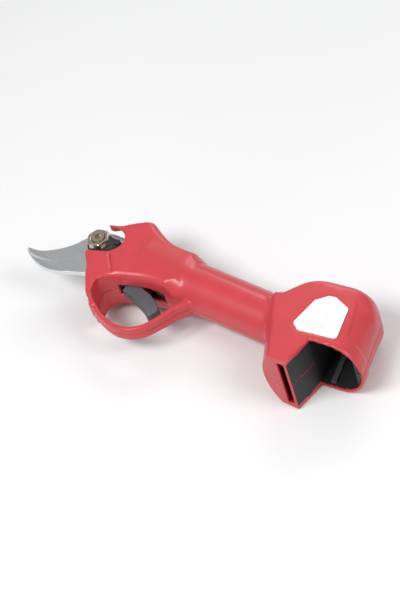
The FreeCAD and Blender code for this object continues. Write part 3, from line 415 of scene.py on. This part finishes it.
def flat_piece(name, outline, low, high):
    """Thin plate between two heights with a small bevel round its edges."""
    count = len(outline)
    points = [((Vector((x, y, z)) + ORIGIN) * MM)[:] for z in (low, high) for x, y in outline]
    faces = [tuple(range(count))[::-1], tuple(range(count, 2 * count))]
    faces += [(i, (i + 1) % count, count + (i + 1) % count, count + i) for i in range(count)]
    mesh = bpy.data.meshes.new(name)
    mesh.from_pydata(points, [], faces)
    obj = bpy.data.objects.new(name, mesh)
    bpy.context.scene.collection.objects.link(obj)
    bevel = obj.modifiers.new("edge", "BEVEL")
    bevel.width = 0.08 * MM
    bevel.segments = 2
    bevel.limit_method = "ANGLE"
    bevel.angle_limit = math.radians(50)
    return obj


FINE = [
    ("hook_blade", (-54, -38, 6.4), (35, 18, 11.7), 0.36, hook_field, "fixed_blade", "tool", "blade_steel"),
    ("crescent_blade", (-55, -33, 2.3), (26, 25, 7.5), 0.36, crescent_field,
     "moving_blade", "blade", "blade_steel"),
    ("hex_nut", (-10, -10, 12), (10, 10, 19.2), 0.24, nut_field, "pivot_nut", "tool", "bright_steel"),
    ("nut_lock_plate", (-11, -11, 10.5), (17, 11, 13.2), 0.24, plate_field,
     "lock_plate", "tool", "black_steel"),
    ("finger_lever", (36, -37, -6), (75, -8, 6), 0.36, trigger_field, "trigger", "trigger", "dark_plastic"),
]
for name, low, high, step, field, node, body, slot in FINE:
    piece = mesh_from_field(name, low, high, step, field)
    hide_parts(node)
    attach(piece, body)
blank_label = flat_piece("blank_label", round_outline(LABEL_CORE, LABEL_ROUND - 0.1), 23.7, 24.2)
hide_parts("rating_label")
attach(blank_label, "tool")


# ---------------------------------------------------------------- materials
def material(name, base, rough, metal=0.0, vary=0.08, grain=60.0, bump=0.05, stretch=(1, 1, 1),
             coat=0.0, rough_vary=0.08):
    """Principled material whose colour, roughness and relief vary over the piece."""
    mat = bpy.data.materials.new(name)
    mat.use_nodes = True
    nodes, links = mat.node_tree.nodes, mat.node_tree.links
    shader = nodes["Principled BSDF"]
    where = nodes.new("ShaderNodeTexCoord")
    scale = nodes.new("ShaderNodeMapping")
    scale.inputs["Scale"].default_value = stretch
    links.new(where.outputs["Object"], scale.inputs["Vector"])
    cloud = nodes.new("ShaderNodeTexNoise")
    cloud.inputs["Scale"].default_value = grain
    cloud.inputs["Detail"].default_value = 4.0
    links.new(scale.outputs["Vector"], cloud.inputs["Vector"])
    fine = nodes.new("ShaderNodeTexNoise")
    fine.inputs["Scale"].default_value = grain * 22.0
    fine.inputs["Detail"].default_value = 3.0
    links.new(scale.outputs["Vector"], fine.inputs["Vector"])
    ramp = nodes.new("ShaderNodeValToRGB")
    ramp.color_ramp.elements[0].position = 0.32
    ramp.color_ramp.elements[1].position = 0.68
    ramp.color_ramp.elements[0].color = [c * (1 - vary) for c in base] + [1]
    ramp.color_ramp.elements[1].color = [min(c * (1 + vary), 1) for c in base] + [1]
    links.new(cloud.outputs["Fac"], ramp.inputs["Fac"])
    links.new(ramp.outputs["Color"], shader.inputs["Base Color"])
    spread = nodes.new("ShaderNodeMapRange")
    spread.inputs["To Min"].default_value = max(rough - rough_vary, 0.02)
    spread.inputs["To Max"].default_value = min(rough + rough_vary, 1.0)
    links.new(fine.outputs["Fac"], spread.inputs["Value"])
    links.new(spread.outputs["Result"], shader.inputs["Roughness"])
    relief = nodes.new("ShaderNodeBump")
    relief.inputs["Strength"].default_value = bump
    relief.inputs["Distance"].default_value = 0.0004
    links.new(fine.outputs["Fac"], relief.inputs["Height"])
    links.new(relief.outputs["Normal"], shader.inputs["Normal"])
    shader.inputs["Metallic"].default_value = metal
    shader.inputs["Coat Weight"].default_value = coat
    return mat


def label_lines(mat):
    """Faint grey printed rows across the label, broken up by noise; they spell nothing."""
    nodes, links = mat.node_tree.nodes, mat.node_tree.links
    shader = nodes["Principled BSDF"]
    plain = shader.inputs["Base Color"].links[0].from_socket
    where = nodes.new("ShaderNodeTexCoord")
    turn = nodes.new("ShaderNodeMapping")
    turn.inputs["Rotation"].default_value = (0, 0, math.radians(17.0))
    links.new(where.outputs["Object"], turn.inputs["Vector"])
    rows = nodes.new("ShaderNodeTexWave")
    rows.bands_direction = "X"
    rows.inputs["Scale"].default_value = 95.0
    links.new(turn.outputs["Vector"], rows.inputs["Vector"])
    row_mask = nodes.new("ShaderNodeMapRange")
    row_mask.inputs["From Min"].default_value = 0.72
    row_mask.inputs["From Max"].default_value = 0.80
    links.new(rows.outputs["Fac"], row_mask.inputs["Value"])
    breaks = nodes.new("ShaderNodeTexNoise")
    breaks.inputs["Scale"].default_value = 260.0
    links.new(turn.outputs["Vector"], breaks.inputs["Vector"])
    break_mask = nodes.new("ShaderNodeMapRange")
    break_mask.inputs["From Min"].default_value = 0.52
    break_mask.inputs["From Max"].default_value = 0.58
    links.new(breaks.outputs["Fac"], break_mask.inputs["Value"])
    both = nodes.new("ShaderNodeMath")
    both.operation = "MULTIPLY"
    links.new(row_mask.outputs["Result"], both.inputs[0])
    links.new(break_mask.outputs["Result"], both.inputs[1])
    faint = nodes.new("ShaderNodeMath")
    faint.operation = "MULTIPLY"
    faint.inputs[1].default_value = 0.5
    links.new(both.outputs[0], faint.inputs[0])
    mix = nodes.new("ShaderNodeMixRGB")
    mix.inputs["Color2"].default_value = (0.33, 0.33, 0.36, 1)
    links.new(faint.outputs[0], mix.inputs["Fac"])
    links.new(plain, mix.inputs["Color1"])
    links.new(mix.outputs["Color"], shader.inputs["Base Color"])
    return mat


FINISH = {
    "red_housing": material("red_plastic", (0.50, 0.040, 0.050), 0.36, vary=0.05, bump=0.06, coat=0.15),
    "dark_plastic": material("dark_plastic", (0.085, 0.085, 0.095), 0.42, bump=0.08),
    # painted shade: a near-black material that stands in for the shadow on the red plastic inside the
    # battery bay
    "bay_painted_shade": material("bay_painted_shade", (0.016, 0.015, 0.017), 0.55, bump=0.08),
    "blade_steel": material("blade_steel", (0.74, 0.75, 0.77), 0.30, 1.0, 0.05, 40.0, 0.05, (1, 6, 1)),
    "bright_steel": material("bright_steel", (0.52, 0.45, 0.37), 0.30, 1.0, 0.05, 80.0, 0.03),
    "black_steel": material("black_steel", (0.03, 0.03, 0.034), 0.38, 0.3, 0.15, 80.0, 0.08),
    "screw_steel": material("screw_steel", (0.30, 0.30, 0.31), 0.32, 1.0, 0.08, 90.0, 0.05),
    "gear_steel": material("gear_steel", (0.42, 0.42, 0.43), 0.34, 1.0, 0.08, 90.0, 0.05),
    "frame_alloy": material("frame_alloy", (0.52, 0.52, 0.53), 0.48, 1.0, 0.08, 70.0, 0.15),
    "label": label_lines(material("label_film", (0.80, 0.80, 0.81), 0.35, vary=0.03, bump=0.02)),
    "motor_black": material("motor_black", (0.03, 0.03, 0.032), 0.45, 0.4, 0.12, 70.0, 0.05),
    "copper": material("copper", (0.62, 0.28, 0.14), 0.32, 1.0, 0.10, 90.0, 0.10),
    "contact": material("contact_brass", (0.72, 0.58, 0.30), 0.28, 1.0, 0.06, 90.0, 0.04),
    "board": material("board_green", (0.012, 0.055, 0.028), 0.40, vary=0.15, bump=0.05),
    "bronze": material("bronze", (0.50, 0.33, 0.16), 0.40, 1.0, 0.08, 90.0, 0.08),
    "lead": material("lead_sleeve", (0.35, 0.02, 0.02), 0.45, vary=0.10, bump=0.05),
}


def paint(obj, slot):
    obj.data.materials.clear()
    obj.data.materials.append(FINISH[slot])


SLOT_OF = {part["node"]: part["material_slot"] for part in frame["record"]["subparts"]}
for node, obj in frame["nodes"].items():
    paint(obj, SLOT_OF[node])


def paint_shell(obj):
    """Red outside, with painted shade: near-black faces inside the battery bay stand in for the shadow on
    its red walls.
    """
    paint(obj, "red_housing")
    obj.data.materials.append(FINISH["bay_painted_shade"])
    count = len(obj.data.polygons)
    centre, normal = np.empty(count * 3), np.empty(count * 3)
    obj.data.polygons.foreach_get("center", centre)
    obj.data.polygons.foreach_get("normal", normal)
    x, y, z = (centre.reshape(-1, 3) / MM - np.array(ORIGIN)).T
    bay = to_polygon(x, y, BAY)
    # painted shade: the faces inside the bay, and those of the rib at its front, take the near-black
    # material
    bay_shade_faces = (bay < 0.5) & (tail_field(x, y, z, 0.0) < -1.3)
    bay_shade_faces |= (bay < 1.3) & (normal[::3] > 0.8) & (np.abs(z) < 20.5) & (x < 202.0)
    obj.data.polygons.foreach_set("material_index", bay_shade_faces.astype(np.int32))


paint_shell(left)
paint_shell(right)
paint(blank_label, "label")
for fine in FINE:
    paint(bpy.data.objects[fine[0]], fine[-1])


# ---------------------------------------------------------------- floor, light, camera
def floor_sheet(size, z):
    mesh = bpy.data.meshes.new("floor")
    mesh.from_pydata([(-size, -size, z), (size, -size, z), (size, size, z), (-size, size, z)], [],
                     [(0, 1, 2, 3)])
    obj = bpy.data.objects.new("floor", mesh)
    bpy.context.scene.collection.objects.link(obj)
    obj.data.materials.append(material("floor_paper", (0.74, 0.74, 0.745), 0.85, vary=0.015,
                                       grain=3.0, bump=0.02))
    return obj


def softbox(name, place, aim, size, power, tint=(1, 1, 1)):
    data = bpy.data.lights.new(name, "AREA")
    data.shape = "RECTANGLE"
    data.size, data.size_y = size
    data.energy = power
    data.color = tint
    obj = bpy.data.objects.new(name, data)
    obj.location = place
    obj.rotation_euler = (Vector(aim) - Vector(place)).to_track_quat("-Z", "Y").to_euler()
    bpy.context.scene.collection.objects.link(obj)
    return obj


floor_sheet(4.0, -0.0002)
softbox("key", (-0.10, -0.75, 1.15), (0.0, 0.0, 0.0), (0.75, 0.45), 14.0)
softbox("side", (0.95, 0.15, 0.90), (0.05, 0.0, 0.0), (0.5, 0.5), 6.0)
softbox("back", (-0.4, 1.1, 0.9), (0.0, 0.0, 0.0), (0.9, 0.5), 5.0, (0.96, 0.98, 1.0))

bpy.context.scene.view_settings.view_transform = "Standard"
world = bpy.data.worlds.new("studio")
world.use_nodes = True
world.node_tree.nodes["Background"].inputs["Color"].default_value = (1.0, 1.0, 1.0, 1.0)
world.node_tree.nodes["Background"].inputs["Strength"].default_value = 0.42
bpy.context.scene.world = world

# The viewpoint keeps the photograph's position and roll, and is aimed at the tool.
EYE = Vector((0.6914, -0.5194, 0.8842))
AIM = Vector((0.000, 0.004, 0.022))
DOWN = Vector((0.2999, -0.6491, -0.6991))
forward = (AIM - EYE).normalized()
down = (DOWN - DOWN.dot(forward) * forward).normalized()
right_dir = down.cross(forward)
lens = bpy.data.cameras.new("camera")
lens.lens = 106.0
lens.sensor_width = 36.0
lens.clip_start = 0.05
camera = bpy.data.objects.new("camera", lens)
camera.matrix_world = Matrix([[right_dir[i], -down[i], -forward[i], EYE[i]] for i in range(3)]
                             + [[0, 0, 0, 1]])
bpy.context.scene.collection.objects.link(camera)
bpy.context.scene.camera = camera
